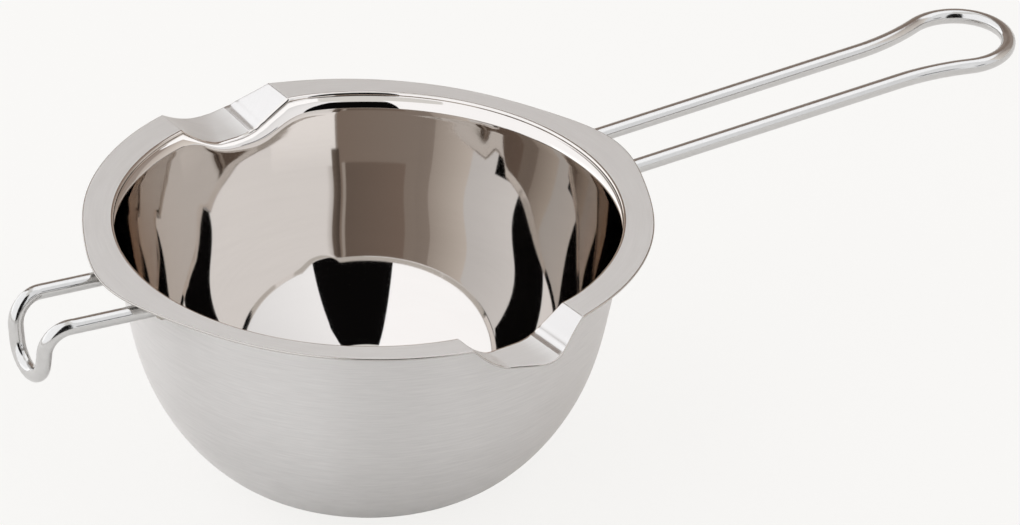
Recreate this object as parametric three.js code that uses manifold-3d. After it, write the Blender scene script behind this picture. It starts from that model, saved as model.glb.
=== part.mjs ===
// Melting bowl that hangs in a pan of hot water: a deep-drawn steel bowl with two pouring spouts, a long
// bent-wire handle and a bent-wire hook that catches the pan's far rim. Millimetres, +Z up.
// The origin is the centre of the base's underside, and +X points along the handle.
import * as THREE from 'three';
import * as BufferGeometryUtils from 'three/addons/utils/BufferGeometryUtils.js';
import Module from 'manifold-3d';

// Bowl sheet
const SHEET = 0.6; // thickness of the steel
const RIM_HEIGHT = 66.3; // base underside to flange top
const BASE_RADIUS = 23.7; // flat of the base
const BASE_ROUND = 26; // outside round between base and wall
const DISH_RADIUS = 58.6; // outside of the ball-shaped lower wall
const WALL_TAPER = 10.6; // degrees, upper wall from upright
const BAND_DEPTH = 4.6; // upright band at the top of the wall, from flange top
const RIM_BEND = 0.4; // bend under the flange, where it leaves the band

// Flange
const FLANGE_WIDTH = 7; // inside of the band to the flange edge, on average
const FLANGE_OVAL = 0.9; // how far the trimmed edge is out of round
const OVAL_ANGLE = 121; // degrees round from the handle, where the oval is widest

// Spouts: degrees round from the handle, the widening of the flange beside each, the depth of its floor
// next to the band and at the lip, the plan width of its rounded side towards the hook next to the band,
// and how much wider that side is at the lip
const SPOUTS = [
  { turn: 90.8, swell: 2.1, depth: 7.4, lipDepth: 6.2, hookSide: 12, flare: 5 },
  { turn: 272, swell: 0.2, depth: 6, lipDepth: 5.9, hookSide: 8.5, flare: 0 },
];
const SWELL_SPREAD = 20; // degrees, spread of that widening
const SPOUT_WIDTH = 30.8; // across the top
const HANDLE_SIDE = 8.4; // plan width of the sloping side towards the handle
const FOOT_SHARE = 0.78; // share of the depth that the foot of that side reaches
const FLOOR_RUN = 6; // plan width over which the floor takes up the rest
const HOOK_CURVE = 1.6; // roundness of the side towards the hook, 1 for a straight slope
const SPOUT_INSET = 1.1; // how far the pressing pushes the band into the bowl
const SPOUT_DRAW = 5.5; // drop of the band's lower edge
const PRESS_SKEW = 3; // middle of that push and drop from the spout's middle, towards the handle
const PRESS_SPREAD = 11.8; // how far they spread to either side
const SPOUT_BLEND = 14; // height of wall below the band that the pressing draws down
const LIP_REACH = 11.8; // inside of the band to the tip of the lip
const LIP_SKEW = 3; // tip of the lip from the middle of the spout, towards the handle
const LIP_SPREAD = 5.6; // half the width of the lip where it leaves the flange

// Wires
const WIRE = 3.8; // diameter of both wires
const WIRE_BELOW = 0.7; // flange underside to the top of the wires, at the flange edge
const WIRE_SWELL = 3.4; // widening of the flange over a pair of wire ends
const WIRE_SPREAD = 10.8; // degrees, spread of that widening

// Handle
const HANDLE_SPACING = 17.8; // between the centre lines of its two runs
const HANDLE_LENGTH = 126.4; // band to the far side of the loop
const HANDLE_RISE = 0.75; // degrees, upwards from the flange edge
const LOOP_RADIUS = 13; // centre line of the hanging loop
const FLARE_RADIUS = 60; // centre line where the runs open into the loop

// Hook
const HOOK_ANGLE = 176.5; // degrees round from the handle
const HOOK_SPACING = 18.5; // between the centre lines of its two arms
const HOOK_LENGTH = 31.7; // band to the outside of the turned-down end
const HOOK_RISE = 3; // degrees, upwards from the flange edge
const HOOK_BEND = 6.5; // centre-line radius where the arms turn down
const HOOK_DROP = 15.3; // arms' centre line at the bend down to the centre line of the U
const HOOK_U_RADIUS = 7; // centre line of the U

// Welds
const WELD_REACH = 1.7; // height of the bead on the band, outside the wire
const WELD_TOE = 0.4; // height of the bead at its thin end
const WELD_LENGTH = 3; // along the wire

const GAP = 0.3; // clearance between touching pieces

// Fineness of the mesh
const ROUND_STEPS = 96; // round the bowl
const SPOUT_CROWDING = 0.6; // how much closer those steps lie at the spouts
const BASE_STEPS = 3; // up the round between base and wall
const DISH_STEPS = 6; // up the ball-shaped wall
const BEND_STEPS = 3; // over the bend under the flange
const FLANGE_STEPS = [0.1, 0.25, 0.5, 1]; // shares of the flange's width
const WALL_STEPS = [1, 0.5]; // shares of the wall that the spouts draw down
const WIRE_SIDES = 12;
const HANDLE_STEP = 4; // length of one stretch of the wire
const HOOK_STEP = 2;
const WELD_STEPS = 20;

// Finishes
const BOWL_STEEL = { color: 0xc8c4c0, roughness: 0.28, metalness: 1 };
const WIRE_STEEL = { color: 0xd4d3d0, roughness: 0.18, metalness: 1 };
const WELD_STEEL = { color: 0xb4b0aa, roughness: 0.45, metalness: 1 };

const { clamp, degToRad, lerp, smoothstep } = THREE.MathUtils;

// Places that several pieces share
const dishHeight = BASE_ROUND + Math.sqrt((DISH_RADIUS - BASE_ROUND) ** 2 - BASE_RADIUS ** 2);
const taper = degToRad(WALL_TAPER);
const bandHeight = RIM_HEIGHT - BAND_DEPTH;
const bandRadius = DISH_RADIUS / Math.cos(taper) + (bandHeight - dishHeight) * Math.tan(taper);
const flangeRadius = bandRadius - SHEET + FLANGE_WIDTH;
const lipRadius = bandRadius - SHEET + LIP_REACH;
const wiredEdge = flangeRadius + WIRE_SWELL;
const wireHeight = RIM_HEIGHT - SHEET - WIRE_BELOW - WIRE / 2;

const wasm = await Module();
wasm.setup();

function toSolid(geometry) {
  const bare = geometry.clone();
  bare.deleteAttribute('normal');
  bare.deleteAttribute('uv');
  const merged = BufferGeometryUtils.mergeVertices(bare);
  const vertProperties = new Float32Array(merged.attributes.position.array);
  const triVerts = new Uint32Array(merged.index.array);
  return new wasm.Manifold(new wasm.Mesh({ numProp: 3, vertProperties, triVerts }));
}

function toGeometry(solid) {
  const { vertProperties, triVerts } = solid.getMesh();
  const geometry = new THREE.BufferGeometry();
  geometry.setAttribute('position', new THREE.BufferAttribute(vertProperties, 3));
  geometry.setIndex(new THREE.BufferAttribute(triVerts, 1));
  geometry.computeVertexNormals();
  return geometry;
}

function mesh(name, geometry, steel) {
  const piece = new THREE.Mesh(geometry, new THREE.MeshStandardMaterial(steel));
  piece.name = name;
  return piece;
}

// A station is a point on the middle of the sheet, in a radial cut, with the direction to the upper face
function station(radius, height, angle) {
  const middle = new THREE.Vector2(radius, height);
  const upper = new THREE.Vector2(Math.cos(angle), Math.sin(angle));
  return { middle, upper };
}

// Stations on an arc, with the upper face towards the arc's centre (side -1) or away from it (side 1)
function arcStations(centreRadius, centreHeight, radius, from, to, steps, side) {
  const stations = [];
  for (let i = 0; i <= steps; i++) {
    const angle = from + ((to - from) * i) / steps;
    const reach = centreRadius + radius * Math.cos(angle);
    const height = centreHeight + radius * Math.sin(angle);
    stations.push(station(reach, height, side > 0 ? angle : angle + Math.PI));
  }
  return stations;
}

// The sheet in a radial cut, from the base's centre to the flange edge
function sheetStations() {
  const half = SHEET / 2;
  const up = Math.PI / 2;
  const inward = Math.PI;
  const bandMiddle = bandRadius - half;
  const baseTurn = Math.atan2(BASE_ROUND - dishHeight, BASE_RADIUS);
  const baseArc = arcStations(BASE_RADIUS, BASE_ROUND, BASE_ROUND - half, -up, baseTurn, BASE_STEPS, -1);
  const dishArc = arcStations(0, dishHeight, DISH_RADIUS - half, baseTurn, -taper, DISH_STEPS, -1);
  const wall = WALL_STEPS.map((share) => {
    const drop = SPOUT_BLEND * share;
    return station(bandMiddle - drop * Math.tan(taper), bandHeight - drop, inward - taper);
  });
  const bendRadius = RIM_BEND + half;
  const bendHeight = RIM_HEIGHT - SHEET - RIM_BEND;
  const bend = arcStations(bandRadius + RIM_BEND, bendHeight, bendRadius, inward, up, BEND_STEPS, 1);
  const flat = flangeRadius - bandRadius - RIM_BEND;
  const flange = FLANGE_STEPS.map((share) => {
    return station(bandRadius + RIM_BEND + flat * share, RIM_HEIGHT - half, up);
  });
  return [
    station(0, half, up),
    ...baseArc,
    ...dishArc.slice(1),
    ...wall,
    station(bandMiddle, bandHeight, inward - taper / 2),
    ...bend,
    ...flange,
  ];
}

function bump(angle, centre, spread) {
  const away = THREE.MathUtils.euclideanModulo(angle - degToRad(centre) + Math.PI, 2 * Math.PI) - Math.PI;
  return Math.exp(-0.5 * (away / degToRad(spread)) ** 2);
}

// Distance of a place from the middle line of a spout, positive towards the handle
function acrossSpout(radius, angle, spout) {
  const middle = degToRad(spout.turn);
  const handleSide = -Math.sign(Math.sin(middle));
  return radius * Math.sin(angle - middle) * handleSide;
}

function facesSpout(angle, spout) {
  return Math.cos(angle - degToRad(spout.turn)) > 0;
}

// Edge of the flange: nearly round, wider over the wires and beside the spouts, drawn out into the lips
function edgeAt(angle) {
  const oval = FLANGE_OVAL * Math.cos(2 * (angle - degToRad(OVAL_ANGLE)));
  const wires = bump(angle, 0, WIRE_SPREAD) + bump(angle, HOOK_ANGLE, WIRE_SPREAD);
  let edge = flangeRadius + oval + WIRE_SWELL * wires;
  for (const spout of SPOUTS) {
    edge += spout.swell * bump(angle, spout.turn, SWELL_SPREAD);
  }
  for (const spout of SPOUTS.filter((spout) => facesSpout(angle, spout))) {
    const away = (acrossSpout(flangeRadius, angle, spout) - LIP_SKEW) / LIP_SPREAD;
    edge += (lipRadius - edge) * Math.exp(-0.5 * away ** 2);
  }
  return edge;
}

// Depth of the spouts at a place of the plan: a straight slope towards the handle, a round one to the hook
function floorAt(radius, angle) {
  const outward = clamp((radius - bandRadius) / (lipRadius - bandRadius), 0, 1);
  const depths = SPOUTS.filter((spout) => facesSpout(angle, spout)).map((spout) => {
    const across = acrossSpout(radius, angle, spout);
    const fromCrease = SPOUT_WIDTH / 2 - across;
    const pastFoot = clamp((fromCrease - HANDLE_SIDE) / FLOOR_RUN, 0, 1);
    const handleSlope = FOOT_SHARE * clamp(fromCrease / HANDLE_SIDE, 0, 1);
    const floorSlope = (1 - FOOT_SHARE) * (1 - (1 - pastFoot) ** 2);
    const hookWidth = spout.hookSide + spout.flare * outward;
    const hookSlope = clamp((SPOUT_WIDTH / 2 + across) / hookWidth, 0, 1);
    const press = Math.min(handleSlope + floorSlope, 1 - (1 - hookSlope) ** HOOK_CURVE);
    return press * lerp(spout.depth, spout.lipDepth, outward);
  });
  return Math.max(...depths, 0);
}

// A broad bell over each spout: 1 at its top, fading out to either side
function bellAt(radius, angle) {
  const bells = SPOUTS.filter((spout) => facesSpout(angle, spout)).map((spout) => {
    const away = Math.abs(acrossSpout(radius, angle, spout) - PRESS_SKEW) / PRESS_SPREAD;
    return Math.exp(-(away ** 3));
  });
  return Math.max(...bells, 0);
}

// How far the spouts' tool takes a place of the sheet down: sharply on the flange, softly on the wall
function dropAt(radius, height, angle) {
  const wallShare = smoothstep(height, bandHeight - SPOUT_BLEND, bandHeight);
  const bandShare = clamp((height - bandHeight) / (BAND_DEPTH - SHEET / 2), 0, 1);
  const onWall = SPOUT_DRAW * wallShare * bellAt(radius, angle);
  return lerp(onWall, floorAt(radius, angle), bandShare);
}

// How far it pushes a place into the bowl
function insetAt(radius, height, angle) {
  const wallShare = smoothstep(height, bandHeight - SPOUT_BLEND, bandHeight);
  const offBand = clamp((radius - bandRadius) / (flangeRadius - bandRadius), 0, 1);
  const bell = bellAt(Math.min(radius, bandRadius), angle);
  return SPOUT_INSET * wallShare * (1 - offBand) ** 2 * bell;
}

// The drawn bowl: a lathed sheet whose flange is then widened and pressed into spouts
function bowlGeometry() {
  const stations = sheetStations();
  const face = (side) => ({ middle, upper }) => middle.clone().addScaledVector(upper, (side * SHEET) / 2);
  const lower = stations.map(face(-1));
  const upper = stations.map(face(1)).reverse();
  const profile = [...lower, ...upper];
  profile.forEach((point) => {
    point.x = Math.max(point.x, 0);
  });
  const geometry = new THREE.LatheGeometry(profile, ROUND_STEPS);
  const position = geometry.attributes.position;
  const last = profile.length - 1;
  for (let i = 0; i < position.count; i++) {
    const row = i % profile.length;
    const { middle } = stations[Math.min(row, last - row)];
    const evenAngle = (2 * Math.PI * Math.floor(i / profile.length)) / ROUND_STEPS;
    const angle = evenAngle + (SPOUT_CROWDING / 2) * Math.sin(2 * evenAngle);
    const onFlange = clamp((middle.x - bandRadius) / (flangeRadius - bandRadius), 0, 1);
    const widening = (edgeAt(angle) - flangeRadius) * onFlange;
    const reach = middle.x + widening;
    const radius = profile[row].x + widening - insetAt(reach, middle.y, angle);
    const drop = dropAt(reach, middle.y, angle);
    position.setXYZ(i, radius * Math.cos(angle), radius * Math.sin(angle), profile[row].y - drop);
  }
  geometry.computeVertexNormals();
  return geometry;
}

// A round wire along a flat path that is carried to its place in the round
function wireGeometry(path, place, step) {
  const steps = Math.round(path.getLength() / step);
  const points = path.getSpacedPoints(steps).map(place);
  const section = new THREE.Shape().absarc(0, 0, WIRE / 2, 0, 2 * Math.PI);
  const extrudePath = new THREE.CatmullRomCurve3(points);
  const curveSegments = WIRE_SIDES / 2;
  return new THREE.ExtrudeGeometry(section, { steps, curveSegments, extrudePath, bevelEnabled: false });
}

// Where the end of a wire stands off the band
function wireStart(spacing) {
  const nearSide = spacing / 2 - WIRE / 2;
  return Math.sqrt(bandRadius ** 2 - nearSide ** 2) + GAP;
}

// Two runs that flare into a round loop
function handleGeometry() {
  const half = HANDLE_SPACING / 2;
  const loopCentre = bandRadius + HANDLE_LENGTH - LOOP_RADIUS - WIRE / 2;
  const flareCentre = half + FLARE_RADIUS;
  const flareStart = loopCentre - Math.sqrt((FLARE_RADIUS + LOOP_RADIUS) ** 2 - flareCentre ** 2);
  const join = Math.atan2(flareCentre, flareStart - loopCentre);
  const path = new THREE.Path();
  path.moveTo(wireStart(HANDLE_SPACING), half);
  path.lineTo(flareStart, half);
  path.absarc(flareStart, flareCentre, FLARE_RADIUS, -Math.PI / 2, join - Math.PI, false);
  path.absarc(loopCentre, 0, LOOP_RADIUS, join, -join, true);
  path.absarc(flareStart, -flareCentre, FLARE_RADIUS, Math.PI - join, Math.PI / 2, false);
  path.lineTo(wireStart(HANDLE_SPACING), -half);
  const slope = Math.tan(degToRad(HANDLE_RISE));
  const place = ({ x, y }) => new THREE.Vector3(x, y, wireHeight + (x - wiredEdge) * slope);
  return wireGeometry(path, place, HANDLE_STEP);
}

// A flat U whose end is folded down over the pan's rim
function hookGeometry() {
  const half = HOOK_SPACING / 2;
  const rise = degToRad(HOOK_RISE);
  const fold = Math.PI / 2 + rise;
  const start = wireStart(HOOK_SPACING);
  const legReach = bandRadius + HOOK_LENGTH - WIRE / 2;
  const straight = (legReach - start - HOOK_BEND * (1 + Math.sin(rise))) / Math.cos(rise);
  const startHeight = wireHeight + (start - wiredEdge) * Math.tan(rise);
  const bent = HOOK_BEND * fold;
  const turnDepth = HOOK_BEND * Math.cos(rise);
  const uCentre = straight + bent + HOOK_DROP - turnDepth - HOOK_U_RADIUS;
  const legLength = uCentre - straight;
  const lean = Math.acos(HOOK_U_RADIUS / Math.hypot(half, legLength)) - Math.atan2(legLength, half);
  const path = new THREE.Path();
  path.moveTo(0, half);
  path.lineTo(straight, half);
  path.lineTo(uCentre + HOOK_U_RADIUS * Math.sin(lean), HOOK_U_RADIUS * Math.cos(lean));
  path.absarc(uCentre, 0, HOOK_U_RADIUS, Math.PI / 2 - lean, lean - Math.PI / 2, true);
  path.lineTo(straight, -half);
  path.lineTo(0, -half);
  const place = ({ x, y }) => {
    const turned = clamp(x - straight, 0, bent) / HOOK_BEND;
    const along = Math.min(x, straight);
    const heading = rise - turned;
    const down = Math.max(x - straight - bent, 0);
    const reach = start + along * Math.cos(rise) + HOOK_BEND * (Math.sin(rise) - Math.sin(heading));
    const height = along * Math.sin(rise) + HOOK_BEND * (Math.cos(heading) - Math.cos(rise)) - down;
    return new THREE.Vector3(reach, y, startHeight + height);
  };
  return wireGeometry(path, place, HOOK_STEP);
}

// A fillet of weld round the end of a wire, open at the top where the wire lies under the flange
function weldGeometry(spacing, side, rise) {
  const inner = WIRE / 2 + GAP;
  const root = wireStart(spacing) - 2 * WELD_REACH;
  const toe = wireStart(spacing) + WELD_LENGTH;
  const outline = [
    new THREE.Vector2(inner, root),
    new THREE.Vector2(inner + WELD_REACH, root),
    new THREE.Vector2(inner + WELD_REACH, wireStart(spacing)),
    new THREE.Vector2(inner + WELD_TOE, toe),
    new THREE.Vector2(inner, toe),
    new THREE.Vector2(inner, root),
  ];
  const height = wireHeight + (wireStart(spacing) - wiredEdge) * Math.tan(degToRad(rise));
  const ring = new THREE.LatheGeometry(outline, WELD_STEPS);
  ring.rotateZ(-Math.PI / 2);
  ring.translate(0, (side * spacing) / 2, height);
  const band = new THREE.CylinderGeometry(bandRadius + GAP, bandRadius + GAP, RIM_HEIGHT, ROUND_STEPS);
  band.rotateX(Math.PI / 2);
  band.translate(0, 0, RIM_HEIGHT / 2);
  const underside = RIM_HEIGHT - SHEET - GAP;
  const flange = new THREE.BoxGeometry(2 * toe + WIRE, 2 * toe, RIM_HEIGHT);
  flange.translate(0, 0, underside + RIM_HEIGHT / 2);
  return toGeometry(toSolid(ring).subtract(toSolid(band)).subtract(toSolid(flange)));
}

function wireGroup(angle, wire, weldName, spacing, rise) {
  const group = new THREE.Group();
  group.rotation.z = degToRad(angle);
  group.add(wire);
  group.add(mesh(`${weldName}_left`, weldGeometry(spacing, 1, rise), WELD_STEEL));
  group.add(mesh(`${weldName}_right`, weldGeometry(spacing, -1, rise), WELD_STEEL));
  return group;
}

const meltingBowl = new THREE.Group();
meltingBowl.add(mesh('bowl', bowlGeometry(), BOWL_STEEL));

const handle = mesh('handle_wire', handleGeometry(), WIRE_STEEL);
meltingBowl.add(wireGroup(0, handle, 'handle_weld', HANDLE_SPACING, HANDLE_RISE));

const hook = mesh('rest_hook', hookGeometry(), WIRE_STEEL);
meltingBowl.add(wireGroup(HOOK_ANGLE, hook, 'hook_weld', HOOK_SPACING, HOOK_RISE));

export default meltingBowl;
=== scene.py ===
import math

import bpy
import numpy as np
from mathutils import Matrix


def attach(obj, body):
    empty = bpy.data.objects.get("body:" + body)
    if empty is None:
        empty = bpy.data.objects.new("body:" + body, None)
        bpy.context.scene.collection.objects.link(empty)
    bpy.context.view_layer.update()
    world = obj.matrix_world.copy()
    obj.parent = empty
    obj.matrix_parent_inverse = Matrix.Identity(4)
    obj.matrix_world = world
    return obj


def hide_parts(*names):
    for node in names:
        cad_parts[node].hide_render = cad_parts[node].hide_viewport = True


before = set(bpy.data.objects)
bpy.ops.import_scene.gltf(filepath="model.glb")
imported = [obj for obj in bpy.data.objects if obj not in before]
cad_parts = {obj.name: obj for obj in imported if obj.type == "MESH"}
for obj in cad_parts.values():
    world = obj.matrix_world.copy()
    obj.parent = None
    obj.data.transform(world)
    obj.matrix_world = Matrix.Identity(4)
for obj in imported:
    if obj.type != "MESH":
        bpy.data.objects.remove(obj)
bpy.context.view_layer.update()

scene = bpy.context.scene

# Bowl: one blank of 0.6 mm stainless steel, deep-drawn to a flat base, a ball-shaped lower wall, a
# tapered upper wall, an upright band and a flat flange, with two spouts pressed down out of the flange.
# The inside is mirror-polished, the outside is brushed round and round, and the edge is trimmed smooth.
MM = 0.001
SHEET = 0.6
RIM_HEIGHT = 66.3
BASE_RADIUS = 23.7
BASE_ROUND = 26
DISH_RADIUS = 58.6
WALL_TAPER = math.radians(10.6)
BAND_DEPTH = 4.6
RIM_BEND = 0.1
FLANGE_WIDTH = 7
FLANGE_OVAL = 0.9
OVAL_ANGLE = math.radians(121)
SPOUT_TURNS = (math.radians(90.8), math.radians(272))
SPOUT_SWELLS = (2.1, 0.2)
SPOUT_FLARES = (5, 0)
SPOUT_HOOK_SIDES = (12, 8.5)
SPOUT_DEPTHS = (7.4, 6)
LIP_DEPTHS = (6.2, 5.9)
SWELL_SPREAD = math.radians(20)
SPOUT_WIDTH = 30.8
HANDLE_SIDE = 8.4
FOOT_SHARE = 0.78
FLOOR_RUN = 6
HOOK_CURVE = 1.6
SPOUT_INSET = 1.1
SPOUT_DRAW = 5.5
PRESS_SKEW = 3
PRESS_SPREAD = 11.8
PRESS_POWER = 3
SPOUT_BLEND = 14
FOOT_RIPPLE = 0.08
RIPPLE_LENGTH = 2.4
RIPPLE_SPREAD = 1.2
WALL_EASE = 16
BASE_FLAT = 29.7
CREASE_LIFT = math.radians(5.5)
CREASE_FADE = 20
LIP_REACH = 11.8
LIP_SKEW = 3
LIP_SPREAD = 5.6
WIRE_SWELL = 3.4
WIRE_SPREAD = math.radians(10.8)
HOOK_ANGLE = math.radians(176.5)
EDGE_STEPS = 7
REACH_ROUNDS = 4
WALL_FINE = 0.02
CREASE_ROWS = (-0.06, -0.02, 0.02, 0.06)
WALL_ROWS = 62
SHARP_TURN = math.radians(35)
BURNISH_RUN = 1.8
BAND_LEANS = (24, 68)
QUARTER_TURN = 0.25
BRUSHED, TRIMMED, SATIN, POLISHED, BURNISHED = range(5)
half_sheet = SHEET / 2
dish_height = BASE_ROUND + math.sqrt((DISH_RADIUS - BASE_ROUND) ** 2 - BASE_RADIUS**2)
band_height = RIM_HEIGHT - BAND_DEPTH
band_radius = DISH_RADIUS / math.cos(WALL_TAPER) + (band_height - dish_height) * math.tan(WALL_TAPER)
flange_radius = band_radius - SHEET + FLANGE_WIDTH
lip_radius = band_radius - SHEET + LIP_REACH


def arc_stations(centre, radius, start, end, steps, side):
    angles = np.linspace(start, end, steps + 1)
    middle = np.stack([centre[0] + radius * np.cos(angles), centre[1] + radius * np.sin(angles)], 1)
    upper = side * np.stack([np.cos(angles), np.sin(angles)], 1)
    return np.hstack([middle, upper])


def line_stations(start, end, shares, upper_angle):
    shares = np.asarray(shares)[:, None]
    middle = np.asarray(start) + (np.asarray(end) - np.asarray(start)) * shares
    upper = np.tile([math.cos(upper_angle), math.sin(upper_angle)], (len(shares), 1))
    return np.hstack([middle, upper])


def bump(angle, centre, spread):
    away = (angle - centre + math.pi) % (2 * math.pi) - math.pi
    return np.exp(-0.5 * (away / spread) ** 2)


def across_spout(radius, angle, turn):
    return -math.copysign(1, math.sin(turn)) * radius * np.sin(angle - turn)


def flange_edge(angle):
    edge = flange_radius + FLANGE_OVAL * np.cos(2 * (angle - OVAL_ANGLE))
    edge = edge + WIRE_SWELL * (bump(angle, 0, WIRE_SPREAD) + bump(angle, HOOK_ANGLE, WIRE_SPREAD))
    for turn, swell in zip(SPOUT_TURNS, SPOUT_SWELLS):
        edge = edge + swell * bump(angle, turn, SWELL_SPREAD)
    for turn in SPOUT_TURNS:
        away = (across_spout(flange_radius, angle, turn) - LIP_SKEW) / LIP_SPREAD
        edge = edge + (lip_radius - edge) * np.exp(-0.5 * away**2) * (np.cos(angle - turn) > 0)
    return edge


def faced_spouts(radius, angle):
    for turn, *sizes in zip(SPOUT_TURNS, SPOUT_HOOK_SIDES, SPOUT_FLARES, SPOUT_DEPTHS, LIP_DEPTHS):
        yield across_spout(radius, angle, turn), np.cos(angle - turn) > 0, *sizes


def spout_floor(radius, angle):
    outward = np.clip((radius - band_radius) / (lip_radius - band_radius), 0, 1)
    drop = np.zeros_like(angle)
    for across, faced, hook_side, flare, depth, lip_depth in faced_spouts(radius, angle):
        down_facet = SPOUT_WIDTH / 2 - across
        past_foot = np.clip((down_facet - HANDLE_SIDE) / FLOOR_RUN, 0, 1)
        handle_slope = FOOT_SHARE * np.clip(down_facet / HANDLE_SIDE, 0, 1)
        handle_slope = handle_slope + (1 - FOOT_SHARE) * (1 - (1 - past_foot) ** 2)
        hook_slope = np.clip((SPOUT_WIDTH / 2 + across) / (hook_side + flare * outward), 0, 1)
        press = np.minimum(handle_slope, 1 - (1 - hook_slope) ** HOOK_CURVE)
        from_foot = down_facet - HANDLE_SIDE
        ripple = np.sin(2 * math.pi * from_foot / RIPPLE_LENGTH)
        ripple = FOOT_RIPPLE * ripple * np.exp(-0.5 * (from_foot / RIPPLE_SPREAD) ** 2)
        drop = drop + faced * (press * (depth + (lip_depth - depth) * outward) + ripple)
    return drop


def spout_bell(radius, angle):
    bell = np.zeros_like(angle)
    for across, faced, *_ in faced_spouts(radius, angle):
        bell = bell + faced * np.exp(-(np.abs(across - PRESS_SKEW) / PRESS_SPREAD) ** PRESS_POWER)
    return bell


def spout_drop(radius, height, angle):
    wall_share = np.clip((height - band_height + SPOUT_BLEND) / SPOUT_BLEND, 0, 1)
    band_share = np.clip((height - band_height) / (BAND_DEPTH - half_sheet), 0, 1)
    on_wall = SPOUT_DRAW * smooth(wall_share) * spout_bell(radius, angle)
    return on_wall + (spout_floor(radius, angle) - on_wall) * band_share


def spout_inset(radius, height, angle):
    wall_share = np.clip((height - band_height + SPOUT_BLEND) / SPOUT_BLEND, 0, 1)
    off_band = np.clip((radius - band_radius) / (flange_radius - band_radius), 0, 1)
    bell = spout_bell(np.minimum(radius, band_radius), angle)
    return SPOUT_INSET * smooth(wall_share) * (1 - off_band) ** 2 * bell


def smooth(share):
    return share**2 * (3 - 2 * share)


# The drawn wall eases from one round into the next, so its heading is averaged along the sheet. The
# base is struck flat in a last press, which leaves a crease round it.
def eased_wall(stations, ease, count):
    steps = np.hypot(*np.diff(stations[:, :2], axis=0).T)
    run = np.concatenate([[0], np.cumsum(steps)])
    heading = np.arctan2(stations[:, 3], stations[:, 2]) - math.pi / 2
    places = np.arange(0, run[-1], WALL_FINE)
    window = np.ones(round(ease / WALL_FINE)) / round(ease / WALL_FINE)
    padded = np.pad(np.interp(places, run, heading), len(window), mode="edge")
    eased = np.convolve(padded, window, "same")[len(window) : -len(window)]
    from_crease = places + stations[0, 0] - BASE_FLAT
    lift = CREASE_LIFT * np.clip(1 - from_crease / CREASE_FADE, 0, 1)
    eased = np.where(from_crease < 0, 0, eased + lift)
    reach = np.cumsum(np.cos(eased)) * WALL_FINE
    height = np.cumsum(np.sin(eased)) * WALL_FINE
    start, end = stations[0, :2], stations[-1, :2]
    reach = start[0] + reach * (end[0] - start[0]) / reach[-1]
    height = start[1] + height * (end[1] - start[1]) / height[-1]
    even = np.linspace(places[0], places[-1], count)
    crease_rows = BASE_FLAT - stations[0, 0] + np.array(CREASE_ROWS)
    kept = np.unique((np.concatenate([even, crease_rows]) / WALL_FINE).round().astype(int))
    return np.stack([reach, height, -np.sin(eased), np.cos(eased)], 1)[kept]


base_turn = math.atan2(BASE_ROUND - dish_height, BASE_RADIUS)
dish_end = (
    (DISH_RADIUS - half_sheet) * math.cos(WALL_TAPER),
    dish_height - (DISH_RADIUS - half_sheet) * math.sin(WALL_TAPER),
)
band_middle = band_radius - half_sheet
bend_centre = (band_radius + RIM_BEND, RIM_HEIGHT - SHEET - RIM_BEND)
base_shares = np.linspace(0.06, 0.95, 12)
base_part = line_stations((0, half_sheet), (BASE_RADIUS, half_sheet), base_shares, math.pi / 2)
base_centre = (BASE_RADIUS, BASE_ROUND)
base_arc = arc_stations(base_centre, BASE_ROUND - half_sheet, -math.pi / 2, base_turn, steps=24, side=-1)
dish_centre = (0, dish_height)
dish_arc = arc_stations(dish_centre, DISH_RADIUS - half_sheet, base_turn, -WALL_TAPER, steps=60, side=-1)
wall_shares = np.linspace(0.03, 1, 30)
wall_part = line_stations(dish_end, (band_middle, band_height), wall_shares, math.pi - WALL_TAPER)
drawn_wall = eased_wall(np.vstack([base_part, base_arc, dish_arc[1:], wall_part]), WALL_EASE, WALL_ROWS)
band_shares = (0.12, 0.3, 0.5, 0.7, 0.88)
band_part = line_stations((band_middle, band_height), (band_middle, bend_centre[1]), band_shares, math.pi)
rim_bend = arc_stations(bend_centre, RIM_BEND + half_sheet, math.pi, math.pi / 2, steps=6, side=1)
flange_shares = (0.04, 0.1, 0.17, 0.25, 0.35, 0.47, 0.6, 0.74, 0.88, 1)
flange_middle = RIM_HEIGHT - half_sheet
flange_part = line_stations(
    (bend_centre[0], flange_middle), (flange_radius, flange_middle), flange_shares, math.pi / 2
)
stations = np.vstack([drawn_wall, band_part, rim_bend, flange_part])
polished_rows = len(drawn_wall) + len(band_part) + len(rim_bend) - 1

# Columns run straight along the spouts' creases and spread out like spokes between the spouts.
SPOUT_COLUMN = 0.35
SPOUT_ZONE = 22.4
CREASE_ZONE = 17.5
SPOKE = math.radians(1.1)
spout_across = np.arange(-SPOUT_ZONE, SPOUT_ZONE + SPOUT_COLUMN / 2, SPOUT_COLUMN)
zone_turn = math.asin(SPOUT_ZONE / band_radius)
columns = []
for index, turn in enumerate(SPOUT_TURNS):
    next_turn = SPOUT_TURNS[(index + 1) % 2] + (2 * math.pi if index else 0)
    columns += [(turn, across) for across in spout_across]
    spokes = np.arange(turn + zone_turn + SPOKE, next_turn - zone_turn - SPOKE / 2, SPOKE)
    columns += [(spoke, 0) for spoke in spokes]
column_turn, column_across = np.array(columns).T
straight_share = np.clip((SPOUT_ZONE - np.abs(column_across)) / (SPOUT_ZONE - CREASE_ZONE), 0, 1)


def column_angle(radius):
    spread = np.maximum(radius / band_radius, 1)
    across = column_across * (straight_share + (1 - straight_share) * spread)
    return column_turn + np.arcsin(across / np.maximum(radius, band_radius))


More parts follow.
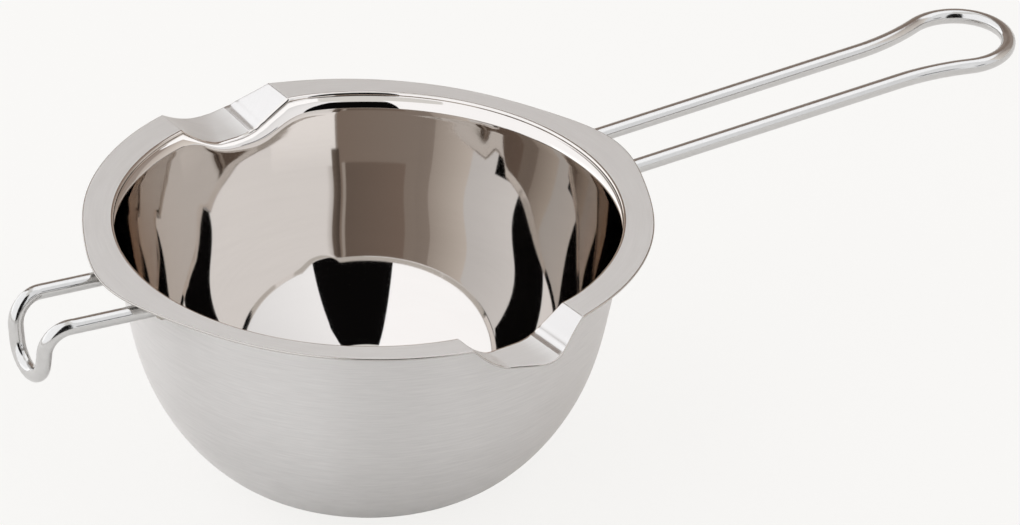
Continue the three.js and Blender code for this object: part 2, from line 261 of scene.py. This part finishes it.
def sheet_rows(side):
    rows = []
    for radius, height, upper_r, upper_z in stations:
        on_flange = np.clip((radius - band_radius) / (flange_radius - band_radius), 0, 1)
        reach = np.full(len(columns), radius)
        for _ in range(REACH_ROUNDS):
            angle = column_angle(reach)
            reach = radius + (flange_edge(angle) - flange_radius) * on_flange
        drop = spout_drop(reach, height, angle)
        reach = reach - spout_inset(reach, height, angle)
        face_radius = np.maximum(reach + side * half_sheet * upper_r, 0)
        face_height = height + side * half_sheet * upper_z - drop
        rows.append(np.stack([face_radius * np.cos(angle), face_radius * np.sin(angle), face_height], 1))
    return rows


# The band rolls over softly into the flange. Its shading leans up more and more towards the top.
def softened_band(points):
    normals = np.zeros_like(points)
    rows = 2 * len(stations) + EDGE_STEPS
    for step, lean in enumerate(np.radians(np.linspace(*BAND_LEANS, len(band_part)))):
        first = (rows - 1 - len(drawn_wall) - step) * len(columns)
        ring = slice(first, first + len(columns))
        heading = -points[ring, :2] / np.linalg.norm(points[ring, :2], axis=1)[:, None]
        normals[ring, :2] = heading * math.cos(lean)
        normals[ring, 2] = math.sin(lean)
    return normals


def drawn_bowl():
    inside = sheet_rows(1)
    outside = sheet_rows(-1)
    middle = (inside[-1] + outside[-1]) / 2
    rounded = []
    for lean in np.linspace(-math.pi / 2, math.pi / 2, EDGE_STEPS + 2):
        pull = 1 - half_sheet * (1 - math.cos(lean)) / flange_radius
        rounded.append(middle * [pull, pull, 1] + [0, 0, half_sheet * math.sin(lean)])
    outside[-1], inside[-1] = rounded[0], rounded[-1]
    rows = outside + rounded[1:-1] + inside[::-1]
    count = len(columns)
    points = np.vstack(rows + [[[0, 0, 0]], [[0, 0, SHEET]]])
    below, above = len(points) - 2, len(points) - 1
    around = np.arange(count)
    onward = np.roll(around, -1)
    faces = [(below, b, a) for a, b in zip(around.tolist(), onward.tolist())]
    finishes = [BRUSHED] * count
    down_facet = SPOUT_WIDTH / 2 + column_across * np.sign(np.sin(column_turn))
    pressed = (straight_share > 0) & (down_facet > 0) & (down_facet < HANDLE_SIDE + BURNISH_RUN)
    for row in range(len(rows) - 1):
        a, b = row * count + around, row * count + onward
        faces += np.stack([a, b, b + count, a + count], 1).tolist()
        if row < len(stations) - 1:
            finish = BRUSHED
        elif row < len(stations) + EDGE_STEPS:
            finish = TRIMMED
        elif len(rows) - 1 - row > polished_rows:
            finish = np.where(pressed, BURNISHED, SATIN).tolist()
        else:
            finish = POLISHED
        finishes += finish if isinstance(finish, list) else [finish] * count
    last = (len(rows) - 1) * count
    faces += [(above, last + a, last + b) for a, b in zip(around.tolist(), onward.tolist())]
    finishes += [POLISHED] * count
    sheet = bpy.data.meshes.new("bowl_sheet")
    sheet.from_pydata((points * MM).tolist(), [], faces)
    sheet.polygons.foreach_set("material_index", finishes)
    sheet.polygons.foreach_set("use_smooth", [True] * len(faces))
    sheet.set_sharp_from_angle(angle=SHARP_TURN)
    sheet.normals_split_custom_set_from_vertices(softened_band(points).tolist())
    return sheet


def linear(hex_colour):
    parts = [int(hex_colour[i : i + 2], 16) / 255 for i in (1, 3, 5)]
    return [p / 12.92 if p <= 0.04045 else ((p + 0.055) / 1.055) ** 2.4 for p in parts] + [1]


def node(tree, kind, settings=(), inputs=(), links=()):
    made = tree.nodes.new(kind)
    for name, value in dict(settings).items():
        setattr(made, name, value)
    for socket, value in dict(inputs).items():
        made.inputs[socket].default_value = value
    for socket, output in dict(links).items():
        tree.links.new(output, made.inputs[socket])
    return made


def new_material(name):
    material = bpy.data.materials.new(name)
    material.use_nodes = True
    return material, material.node_tree, material.node_tree.nodes["Principled BSDF"]


# Steel that was turned against an abrasive, so its scratches run round the bowl. The coordinates hold
# the direction from the axis, scaled to the length of a scratch, and the place across the scratches.
def round_scratches(tree, length_mm, spacing_mm):
    place = node(tree, "ShaderNodeTexCoord").outputs["Object"]
    parts = node(tree, "ShaderNodeSeparateXYZ", links={0: place})
    flat = node(tree, "ShaderNodeCombineXYZ", links={0: parts.outputs[0], 1: parts.outputs[1]}).outputs[0]
    radius = node(tree, "ShaderNodeVectorMath", {"operation": "LENGTH"}, links={0: flat}).outputs["Value"]
    heading = node(tree, "ShaderNodeVectorMath", {"operation": "NORMALIZE"}, links={0: flat}).outputs[0]
    turns = band_radius / length_mm
    spread = {1: (turns, turns, 0)}
    along = node(tree, "ShaderNodeVectorMath", {"operation": "MULTIPLY"}, spread, {0: heading}).outputs[0]
    level = node(tree, "ShaderNodeMath", {"operation": "SUBTRACT"}, links={0: parts.outputs[2], 1: radius})
    fine = {1: 1 / (spacing_mm * MM)}
    level = node(tree, "ShaderNodeMath", {"operation": "MULTIPLY"}, fine, {0: level.outputs[0]})
    across = node(tree, "ShaderNodeCombineXYZ", links={2: level.outputs[0]}).outputs[0]
    where = node(tree, "ShaderNodeVectorMath", {"operation": "ADD"}, links={0: along, 1: across}).outputs[0]
    detail = {"Scale": 1, "Detail": 2, "Roughness": 0.6}
    return node(tree, "ShaderNodeTexNoise", {}, detail, {"Vector": where}).outputs["Fac"]


# The way the scratches run, so that the steel can spread what it reflects across them.
def round_heading(tree):
    place = node(tree, "ShaderNodeTexCoord").outputs["Object"]
    parts = node(tree, "ShaderNodeSeparateXYZ", links={0: place}).outputs
    left = node(tree, "ShaderNodeMath", {"operation": "MULTIPLY"}, {1: -1}, {0: parts[1]}).outputs[0]
    return node(tree, "ShaderNodeCombineXYZ", links={0: left, 1: parts[0]}).outputs[0]


def scratched_steel(name, colour, worn_colour, roughness, length_mm, spacing_mm, bump_mm, spread=0):
    material, tree, steel = new_material(name)
    scratches = round_scratches(tree, length_mm, spacing_mm)
    tones = node(tree, "ShaderNodeMix", {"data_type": "RGBA"}, {6: linear(colour), 7: linear(worn_colour)})
    tree.links.new(scratches, tones.inputs["Factor"])
    tree.links.new(tones.outputs[2], steel.inputs["Base Color"])
    limits = {"To Min": roughness[0], "To Max": roughness[1]}
    rough = node(tree, "ShaderNodeMapRange", {}, limits, {"Value": scratches})
    tree.links.new(rough.outputs["Result"], steel.inputs["Roughness"])
    depth = {"Strength": 1, "Distance": bump_mm * MM}
    grooves = node(tree, "ShaderNodeBump", {}, depth, {"Height": scratches})
    tree.links.new(grooves.outputs["Normal"], steel.inputs["Normal"])
    steel.inputs["Metallic"].default_value = 1
    if spread:
        tree.links.new(round_heading(tree), steel.inputs["Tangent"])
        steel.inputs["Anisotropic"].default_value = spread
        steel.inputs["Anisotropic Rotation"].default_value = QUARTER_TURN
    return material


# Brushed stainless steel: a grit belt leaves a dense grain round the wall that blurs what it reflects.
# The grain is near 0.1 mm and is drawn at 0.34 mm so that it shows.
brushed_outside = scratched_steel(
    "brushed_stainless",
    "#cdcbc9",
    "#e2e0de",
    roughness=(0.34, 0.46),
    length_mm=8,
    spacing_mm=0.34,
    bump_mm=0.008,
    spread=0.8,
)
# Trimmed stainless steel: the sheared edge is rounded and rubbed smooth, and where it mirrors the dark side
# of the room it looks like a thin dark line. Its tones are darker than the rest of the steel, painted shade
# that deepens that line.
trimmed_edge_painted_shade = scratched_steel(
    "trimmed_stainless",
    # painted shade: these tones are darker than the other steel so the edge shows as a thin dark line
    "#b4b0ab",
    "#c4c0bb",
    roughness=(0.14, 0.24),
    length_mm=6,
    spacing_mm=0.3,
    bump_mm=0.004,
)
# Satin stainless steel: a fine scouring pad leaves an even soft grey with hardly any grain.
satin_flange = scratched_steel(
    "satin_stainless",
    "#dbdad8",
    "#e5e4e2",
    roughness=(0.56, 0.66),
    length_mm=12,
    spacing_mm=0.5,
    bump_mm=0.003,
)
# Mirror-polished stainless steel: a mop with paste leaves clear reflections and faint rings.
# The rings are finer than a hair and are drawn at 1.2 mm so that they show.
polished_inside = scratched_steel(
    "mirror_polished_stainless",
    "#d3cfcb",
    "#d7d3cf",
    roughness=(0.02, 0.05),
    length_mm=40,
    spacing_mm=1.2,
    bump_mm=0.0008,
)
# Steel is browner where it is seen at a low angle, which adds up in the bowl's repeated reflections.
polished_sockets = polished_inside.node_tree.nodes["Principled BSDF"].inputs
polished_sockets["Specular Tint"].default_value = linear("#dfcfc2")
# Burnished stainless steel: the spout punch rubs the sloping sides smooth, so they shine more than
# the flange.
pressed_side = scratched_steel(
    "burnished_stainless",
    "#cfcdcb",
    "#d5d3d1",
    roughness=(0.2, 0.28),
    length_mm=20,
    spacing_mm=0.8,
    bump_mm=0.002,
)

bowl = bpy.data.objects.new("bowl_sheet", drawn_bowl())
scene.collection.objects.link(bowl)
for finish in (brushed_outside, trimmed_edge_painted_shade, satin_flange, polished_inside, pressed_side):
    bowl.data.materials.append(finish)
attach(bowl, "root")
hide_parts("bowl")

# Handle: one stainless wire bent into two parallel runs that open into a round hanging loop.
# It is cut square, pushed against the upright band under the flange, and welded there.
WIRE = 3.8
WIRE_BELOW = 0.7
WIRE_SIDES = 32
HANDLE_SPACING = 17.8
HANDLE_LENGTH = 126.4
HANDLE_RISE = math.radians(0.75)
LOOP_RADIUS = 13
FLARE_RADIUS = 60
WIRE_STEP = 0.5
ROD_SHARP_TURN = math.radians(50)
GAP = 0.3
WIRE_GRAIN = 1.5
HAZE_PATCH = 6
wired_edge = flange_radius + WIRE_SWELL
wire_height = RIM_HEIGHT - SHEET - WIRE_BELOW - WIRE / 2


def wire_start(spacing):
    return math.sqrt(band_radius**2 - (spacing / 2 - WIRE / 2) ** 2) + GAP


def line_path(start, end):
    steps = max(2, round(math.dist(start, end) / WIRE_STEP))
    return np.linspace(start, end, steps + 1)[1:]


def arc_path(centre, radius, start, end):
    steps = max(2, round(abs(end - start) * radius / WIRE_STEP))
    angles = np.linspace(start, end, steps + 1)[1:]
    return np.stack([centre[0] + radius * np.cos(angles), centre[1] + radius * np.sin(angles)], 1)


def handle_path():
    half = HANDLE_SPACING / 2
    loop_centre = band_radius + HANDLE_LENGTH - LOOP_RADIUS - WIRE / 2
    flare_centre = half + FLARE_RADIUS
    flare_start = loop_centre - math.sqrt((FLARE_RADIUS + LOOP_RADIUS) ** 2 - flare_centre**2)
    join = math.atan2(flare_centre, flare_start - loop_centre)
    start = wire_start(HANDLE_SPACING)
    flat = np.vstack(
        [
            [[start, half]],
            line_path((start, half), (flare_start, half)),
            arc_path((flare_start, flare_centre), FLARE_RADIUS, -math.pi / 2, join - math.pi),
            arc_path((loop_centre, 0), LOOP_RADIUS, join, -join),
            arc_path((flare_start, -flare_centre), FLARE_RADIUS, math.pi - join, math.pi / 2),
            line_path((flare_start, -half), (start, -half)),
        ]
    )
    heights = wire_height + (flat[:, 0] - wired_edge) * math.tan(HANDLE_RISE)
    return np.column_stack([flat, heights])


# The tree sweeps a round section along the piece's own path. The ripples are for welds.
def swept_rod_tree():
    tree = bpy.data.node_groups.new("swept_rod", "GeometryNodeTree")
    face = tree.interface
    face.new_socket("Path", in_out="INPUT", socket_type="NodeSocketGeometry")
    face.new_socket("Radius", in_out="INPUT", socket_type="NodeSocketFloat")
    face.new_socket("Sides", in_out="INPUT", socket_type="NodeSocketInt")
    face.new_socket("Ripples", in_out="INPUT", socket_type="NodeSocketFloat")
    face.new_socket("Ripple depth", in_out="INPUT", socket_type="NodeSocketFloat")
    face.new_socket("Finish", in_out="INPUT", socket_type="NodeSocketMaterial")
    face.new_socket("Rod", in_out="OUTPUT", socket_type="NodeSocketGeometry")
    given = node(tree, "NodeGroupInput").outputs
    where = node(tree, "GeometryNodeSplineParameter").outputs
    ripples = {0: where["Factor"], 1: given["Ripples"]}
    phase = node(tree, "ShaderNodeMath", {"operation": "MULTIPLY"}, links=ripples)
    turn = node(tree, "ShaderNodeMath", {"operation": "MULTIPLY"}, {1: 2 * math.pi}, {0: phase.outputs[0]})
    wave = node(tree, "ShaderNodeMath", {"operation": "SINE"}, links={0: turn.outputs[0]})
    swell = node(tree, "ShaderNodeMath", {"operation": "MULTIPLY_ADD"}, {2: 1})
    tree.links.new(wave.outputs[0], swell.inputs[0])
    tree.links.new(given["Ripple depth"], swell.inputs[1])
    size = {0: swell.outputs[0], 1: given["Radius"]}
    radius = node(tree, "ShaderNodeMath", {"operation": "MULTIPLY"}, links=size).outputs[0]
    kept = node(tree, "GeometryNodeCaptureAttribute", links={"Geometry": given["Path"]})
    kept.capture_items.new("FLOAT", "Along")
    tree.links.new(where["Length"], kept.inputs[1])
    sides = {"Resolution": given["Sides"]}
    section = node(tree, "GeometryNodeCurvePrimitiveCircle", {}, {"Radius": 1}, sides)
    sweep = {"Curve": kept.outputs[0], "Profile Curve": section.outputs[0], "Scale": radius}
    rod = node(tree, "GeometryNodeCurveToMesh", {}, {"Fill Caps": True}, sweep).outputs[0]
    named = node(tree, "GeometryNodeStoreNamedAttribute", {"data_type": "FLOAT"}, {"Name": "along_wire"})
    tree.links.new(rod, named.inputs["Geometry"])
    tree.links.new(kept.outputs[1], named.inputs["Value"])
    real = node(tree, "GeometryNodeRealizeInstances", links={"Geometry": named.outputs[0]}).outputs[0]
    coat = {"Geometry": real, "Material": given["Finish"]}
    finished = node(tree, "GeometryNodeSetMaterial", links=coat).outputs[0]
    node(tree, "NodeGroupOutput", links={0: finished})
    return tree


swept_rod = swept_rod_tree()


def swept_piece(name, path_mm, radius_mm, sides, finish, ripples=0, ripple_depth=0):
    line = bpy.data.curves.new(name + "_path", "CURVE")
    line.dimensions = "3D"
    spline = line.splines.new("POLY")
    spline.points.add(len(path_mm) - 1)
    spline.points.foreach_set("co", np.column_stack([path_mm * MM, np.ones(len(path_mm))]).ravel())
    guide = bpy.data.objects.new(name + "_path", line)
    scene.collection.objects.link(guide)
    sweep = guide.modifiers.new("sweep", "NODES")
    sweep.node_group = swept_rod
    values = {
        "Radius": radius_mm * MM,
        "Sides": sides,
        "Ripples": ripples,
        "Ripple depth": ripple_depth,
        "Finish": finish,
    }
    for item in swept_rod.interface.items_tree:
        if item.name in values:
            sweep[item.identifier] = values[item.name]
    evaluated = guide.evaluated_get(bpy.context.evaluated_depsgraph_get())
    mesh = bpy.data.meshes.new_from_object(evaluated)
    bpy.data.objects.remove(guide)
    bpy.data.curves.remove(line)
    mesh.name = name
    mesh.polygons.foreach_set("use_smooth", [True] * len(mesh.polygons))
    mesh.set_sharp_from_angle(angle=ROD_SHARP_TURN)
    piece = bpy.data.objects.new(name, mesh)
    scene.collection.objects.link(piece)
    return piece


# Drawn stainless wire: pulled through a die and tumbled, it is bright with faint lengthwise haze.
# Patches of handling haze are 6 mm long and drawn on the length of the wire.
def drawn_wire_finish():
    material, tree, steel = new_material("drawn_stainless_wire")
    along = node(tree, "ShaderNodeAttribute", {"attribute_name": "along_wire"}).outputs["Fac"]
    place = node(tree, "ShaderNodeTexCoord").outputs["Object"]
    fine = {"Scale": 1 / (WIRE_GRAIN * MM), "Detail": 3}
    grain = node(tree, "ShaderNodeTexNoise", {}, fine, {"Vector": place}).outputs["Fac"]
    coarse = {"Scale": 1 / (HAZE_PATCH * MM)}
    patches = node(tree, "ShaderNodeTexNoise", {"noise_dimensions": "1D"}, coarse, {"W": along})
    both = {0: grain, 1: patches.outputs["Fac"]}
    haze = node(tree, "ShaderNodeMath", {"operation": "MULTIPLY"}, links=both)
    span = {"From Max": 0.5, "To Min": 0.09, "To Max": 0.2}
    rough = node(tree, "ShaderNodeMapRange", {}, span, {"Value": haze.outputs[0]})
    tree.links.new(rough.outputs["Result"], steel.inputs["Roughness"])
    tones = node(tree, "ShaderNodeMix", {"data_type": "RGBA"}, {6: linear("#c5c4c2"), 7: linear("#cfcecc")})
    tree.links.new(grain, tones.inputs["Factor"])
    tree.links.new(tones.outputs[2], steel.inputs["Base Color"])
    steel.inputs["Metallic"].default_value = 1
    return material


drawn_wire = drawn_wire_finish()
handle = swept_piece("handle_wire_bent", handle_path(), WIRE / 2, WIRE_SIDES, drawn_wire)
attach(handle, "root")
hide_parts("handle_wire")

# Rest hook: a second length of the same wire, a flat U whose end is folded down over the pan's far rim.
# Its two arms are welded to the band under the flange like the handle's runs.
HOOK_SPACING = 18.5
HOOK_LENGTH = 31.7
HOOK_RISE = math.radians(3)
HOOK_BEND = 6.5
HOOK_DROP = 15.3
HOOK_U_RADIUS = 7


def turned(points, angle):
    return points @ np.array(Matrix.Rotation(angle, 3, "Z")).T


def hook_path():
    half = HOOK_SPACING / 2
    start = wire_start(HOOK_SPACING)
    leg_reach = band_radius + HOOK_LENGTH - WIRE / 2
    straight = (leg_reach - start - HOOK_BEND * (1 + math.sin(HOOK_RISE))) / math.cos(HOOK_RISE)
    bent = HOOK_BEND * (math.pi / 2 + HOOK_RISE)
    u_centre = straight + bent + HOOK_DROP - HOOK_BEND * math.cos(HOOK_RISE) - HOOK_U_RADIUS
    leg = u_centre - straight
    lean = math.acos(HOOK_U_RADIUS / math.hypot(half, leg)) - math.atan2(leg, half)
    foot = (u_centre + HOOK_U_RADIUS * math.sin(lean), HOOK_U_RADIUS * math.cos(lean))
    flat = np.vstack(
        [
            [[0, half]],
            line_path((0, half), (straight, half)),
            line_path((straight, half), foot),
            arc_path((u_centre, 0), HOOK_U_RADIUS, math.pi / 2 - lean, lean - math.pi / 2),
            line_path((foot[0], -foot[1]), (straight, -half)),
            line_path((straight, -half), (0, -half)),
        ]
    )
    along = np.minimum(flat[:, 0], straight)
    heading = HOOK_RISE - np.clip(flat[:, 0] - straight, 0, bent) / HOOK_BEND
    down = np.maximum(flat[:, 0] - straight - bent, 0)
    reach = start + along * math.cos(HOOK_RISE) + HOOK_BEND * (math.sin(HOOK_RISE) - np.sin(heading))
    height = along * math.sin(HOOK_RISE) + HOOK_BEND * (np.cos(heading) - math.cos(HOOK_RISE)) - down
    start_height = wire_height + (start - wired_edge) * math.tan(HOOK_RISE)
    return np.column_stack([reach, flat[:, 1], start_height + height])


hook = swept_piece("rest_hook_bent", turned(hook_path(), HOOK_ANGLE), WIRE / 2, WIRE_SIDES, drawn_wire)
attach(hook, "root")
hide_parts("rest_hook")

# Welds: a bead of filler steel round the end of each wire, laid in the corner against the band.
# The bead is open at the top, where the torch cannot reach under the flange.
WELD_BEAD = 0.8
WELD_OPEN = math.radians(55)
WELD_RIPPLES = 9
WELD_RIPPLE_DEPTH = 0.09
WELD_SIDES = 14
WELD_STEPS = 90
WELD_SPOT = 0.8
WELD_PIT = 0.03


def weld_path(spacing, side, rise):
    angles = np.linspace(math.pi / 2 + WELD_OPEN, 5 * math.pi / 2 - WELD_OPEN, WELD_STEPS)
    middle = (side * spacing / 2, wire_height + (wire_start(spacing) - wired_edge) * math.tan(rise))
    bead_radius = WIRE / 2 + WELD_BEAD / 2
    y = middle[0] + bead_radius * np.cos(angles)
    z = middle[1] + bead_radius * np.sin(angles)
    x = np.sqrt(band_radius**2 - y**2) + WELD_BEAD / 2
    return np.column_stack([x, y, z])


# Filler stainless steel, wire-brushed after welding: grey, rippled, with a straw tint from the heat.
def weld_finish():
    material, tree, steel = new_material("brushed_weld_stainless")
    place = node(tree, "ShaderNodeTexCoord").outputs["Object"]
    detail = {"Scale": 1 / (WELD_SPOT * MM), "Detail": 4}
    spots = node(tree, "ShaderNodeTexNoise", {}, detail, {"Vector": place}).outputs["Fac"]
    tones = node(tree, "ShaderNodeMix", {"data_type": "RGBA"}, {6: linear("#a3a09c"), 7: linear("#b0a99c")})
    tree.links.new(spots, tones.inputs["Factor"])
    tree.links.new(tones.outputs[2], steel.inputs["Base Color"])
    rough = node(tree, "ShaderNodeMapRange", {}, {"To Min": 0.3, "To Max": 0.55}, {"Value": spots})
    tree.links.new(rough.outputs["Result"], steel.inputs["Roughness"])
    pits = node(tree, "ShaderNodeBump", {}, {"Strength": 1, "Distance": WELD_PIT * MM}, {"Height": spots})
    tree.links.new(pits.outputs["Normal"], steel.inputs["Normal"])
    steel.inputs["Metallic"].default_value = 1
    return material


weld_steel = weld_finish()
for end, spacing, rise, angle in (
    ("handle", HANDLE_SPACING, HANDLE_RISE, 0),
    ("hook", HOOK_SPACING, HOOK_RISE, HOOK_ANGLE),
):
    for hand, side in (("left", 1), ("right", -1)):
        path = turned(weld_path(spacing, side, rise), angle)
        name = f"{end}_weld_{hand}"
        weld = swept_piece(
            name + "_bead", path, WELD_BEAD, WELD_SIDES, weld_steel, WELD_RIPPLES, WELD_RIPPLE_DEPTH
        )
        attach(weld, "root")
        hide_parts(name)

# Studio floor: a seamless sheet of pale paper under the bowl that shows a faint shadow. The camera sees
# it nearly evenly lit, and the steel mirrors it with more of the bowl's shadow.
FLOOR_SIZE = 60
ROOM_WHITE = linear("#f9f8f6")
FLOOR_SHADE = 0.11
STEEL_SHADE = 0.95
floor_mesh = bpy.data.meshes.new("studio_floor")
corner = FLOOR_SIZE / 2
floor_corners = [(-corner, -corner, 0), (corner, -corner, 0), (corner, corner, 0), (-corner, corner, 0)]
floor_mesh.from_pydata(floor_corners, [], [(0, 1, 2, 3)])
floor = bpy.data.objects.new("studio_floor", floor_mesh)
scene.collection.objects.link(floor)
paper = bpy.data.materials.new("matt_white_paper")
paper.use_nodes = True
paper_tree = paper.node_tree
paper_tree.nodes.clear()
glow = node(paper_tree, "ShaderNodeEmission", {}, {"Color": ROOM_WHITE, "Strength": 1})
matt = node(paper_tree, "ShaderNodeBsdfDiffuse", {}, {"Color": ROOM_WHITE})
ray = node(paper_tree, "ShaderNodeLightPath").outputs["Is Camera Ray"]
shades = {"To Min": STEEL_SHADE, "To Max": FLOOR_SHADE}
shade = node(paper_tree, "ShaderNodeMapRange", {}, shades, {"Value": ray}).outputs["Result"]
layers = {0: shade, 1: glow.outputs[0], 2: matt.outputs[0]}
mixed = node(paper_tree, "ShaderNodeMixShader", links=layers)
node(paper_tree, "ShaderNodeOutputMaterial", links={"Surface": mixed.outputs[0]})
floor_mesh.materials.append(paper)

# Studio light: a white room with large lamps on either side of the camera and above, a dark gap where
# the camera stands and a dim wall behind, which the polished steel picks up. Each card is a patch of a
# dome round the bowl whose glow runs from one tone to another; its turns count from the camera's side.
DOME_RADIUS = 1.6
FRONT_DOME = 1.55
PANEL_DOME = 1.5
LAMP = ("#fbfcff", "#fbfcff")
DARK = ("#0c0b0b", "#0c0b0b")
VIEW_TURN = 237.4
ROOM_FILL = 0.7
CARD_STEPS = 12
card_skin = bpy.data.materials.new("lit_card")
card_skin.use_nodes = True
card_skin.node_tree.nodes.clear()
card_tone = node(card_skin.node_tree, "ShaderNodeAttribute", {"attribute_name": "glow"}).outputs["Color"]
card_glow = node(card_skin.node_tree, "ShaderNodeEmission", {}, {"Strength": 1}, {"Color": card_tone})
node(card_skin.node_tree, "ShaderNodeOutputMaterial", links={"Surface": card_glow.outputs[0]})


def studio_card(name, turns, rises, tones, strengths=(1, 1), dome=DOME_RADIUS, upwards=False):
    share = np.linspace(0, 1, CARD_STEPS + 1)
    turn, rise = np.meshgrid(share, share)
    glow = [np.array(linear(tone)) * strength for tone, strength in zip(tones, strengths)]
    glow = glow[0] + (glow[1] - glow[0]) * (rise if upwards else turn).ravel()[:, None]
    turn = np.radians(VIEW_TURN + turns[0] + (turns[1] - turns[0]) * turn.ravel())
    rise = np.radians(rises[0] + (rises[1] - rises[0]) * rise.ravel())
    points = dome * np.stack([np.cos(rise) * np.cos(turn), np.cos(rise) * np.sin(turn), np.sin(rise)], 1)
    row = CARD_STEPS + 1
    first = np.add.outer(np.arange(CARD_STEPS) * row, np.arange(CARD_STEPS)).ravel()
    faces = np.stack([first, first + 1, first + row + 1, first + row], 1)
    mesh = bpy.data.meshes.new(name)
    mesh.from_pydata(points.tolist(), [], faces.tolist())
    mesh.color_attributes.new("glow", "FLOAT_COLOR", "POINT").data.foreach_set("color", glow.ravel())
    mesh.materials.append(card_skin)
    card = bpy.data.objects.new(name, mesh)
    scene.collection.objects.link(card)
    card.visible_camera = False
    card.visible_shadow = False


studio_card("lamp_left", (-140, -13), (6, 76), LAMP, (1.45, 1.45))
studio_card("lamp_left_edge", (-152, -140), (6, 64), ("#b9aea6", "#fbfcff"), (0.9, 1.45))
studio_card("lamp_left_low", (-150, -88), (6, 29), LAMP, (1.85, 1.45), FRONT_DOME, upwards=True)
studio_card("lamp_right", (27, 85), (6, 76), LAMP, (1.28, 1.05))
studio_card("lamp_above", (75, 185), (46, 80), LAMP, (1.6, 1.45))
studio_card("wall_right", (85, 122), (6, 46), ("#fff8f2", "#cfc5be"))
studio_card("wall_corner", (122, 135), (6, 46), ("#b4a8a0", "#ada199"))
studio_card("wall_behind", (135, 208), (6, 46), ("#b0a49c", "#a4958b"))
studio_card("panel_behind", (146, 202), (27.8, 52), ("#9c8b81", "#897b72"), dome=PANEL_DOME)
studio_card("panel_gleam", (202, 205), (27.8, 52), ("#cfc6bf", "#cfc6bf"), dome=PANEL_DOME)
studio_card("panel_post", (207, 214), (22, 52), ("#5f544d", "#8d8178"), dome=PANEL_DOME)
studio_card("gap_camera", (-13, 29.5), (3, 67.5), DARK, dome=FRONT_DOME)
studio_card("gap_far", (42, 60), (14, 22.5), DARK, dome=PANEL_DOME)

room = bpy.data.worlds.new("white_room")
scene.world = room
room.use_nodes = True
room_tree = room.node_tree
room_tree.nodes.clear()
seen = node(room_tree, "ShaderNodeLightPath").outputs
direct = seen["Is Camera Ray"]
for kind in ("Is Glossy Ray", "Is Transmission Ray"):
    either = {0: direct, 1: seen[kind]}
    direct = node(room_tree, "ShaderNodeMath", {"operation": "MAXIMUM"}, links=either).outputs[0]
walls = node(room_tree, "ShaderNodeBackground", {}, {"Color": ROOM_WHITE, "Strength": 1})
fill = node(room_tree, "ShaderNodeBackground", {}, {"Color": ROOM_WHITE, "Strength": ROOM_FILL})
room_layers = {0: direct, 1: fill.outputs[0], 2: walls.outputs[0]}
light = node(room_tree, "ShaderNodeMixShader", links=room_layers)
node(room_tree, "ShaderNodeOutputWorld", links={"Surface": light.outputs[0]})

# Camera: a long lens from above the hook side, tilted a little, as the photograph was taken. Its turn,
# rise and place were fitted to the rim and the wires.
CAMERA_TURN = math.radians(-33.469)
CAMERA_RISE = math.radians(29.985)
CAMERA_TILT = math.radians(0.872)
CAMERA_PLACE = (-1.1684, -1.8296, 1.3064)
CAMERA_LENS = 365.35
back = np.array(
    [
        math.sin(CAMERA_TURN) * math.cos(CAMERA_RISE),
        -math.cos(CAMERA_TURN) * math.cos(CAMERA_RISE),
        math.sin(CAMERA_RISE),
    ]
)
level_right = np.array([math.cos(CAMERA_TURN), math.sin(CAMERA_TURN), 0])
level_up = np.cross(back, level_right)
right = math.cos(CAMERA_TILT) * level_right + math.sin(CAMERA_TILT) * level_up
upward = -math.sin(CAMERA_TILT) * level_right + math.cos(CAMERA_TILT) * level_up
lens = bpy.data.cameras.new("photo_camera")
lens.sensor_width = 36
lens.lens = CAMERA_LENS
lens.clip_end = 100
camera = bpy.data.objects.new("photo_camera", lens)
scene.collection.objects.link(camera)
pose = np.eye(4)
pose[:3, :3] = np.column_stack([right, upward, back])
pose[:3, 3] = CAMERA_PLACE
camera.matrix_world = Matrix(pose.tolist())
scene.camera = camera
scene.view_settings.view_transform = "Standard"
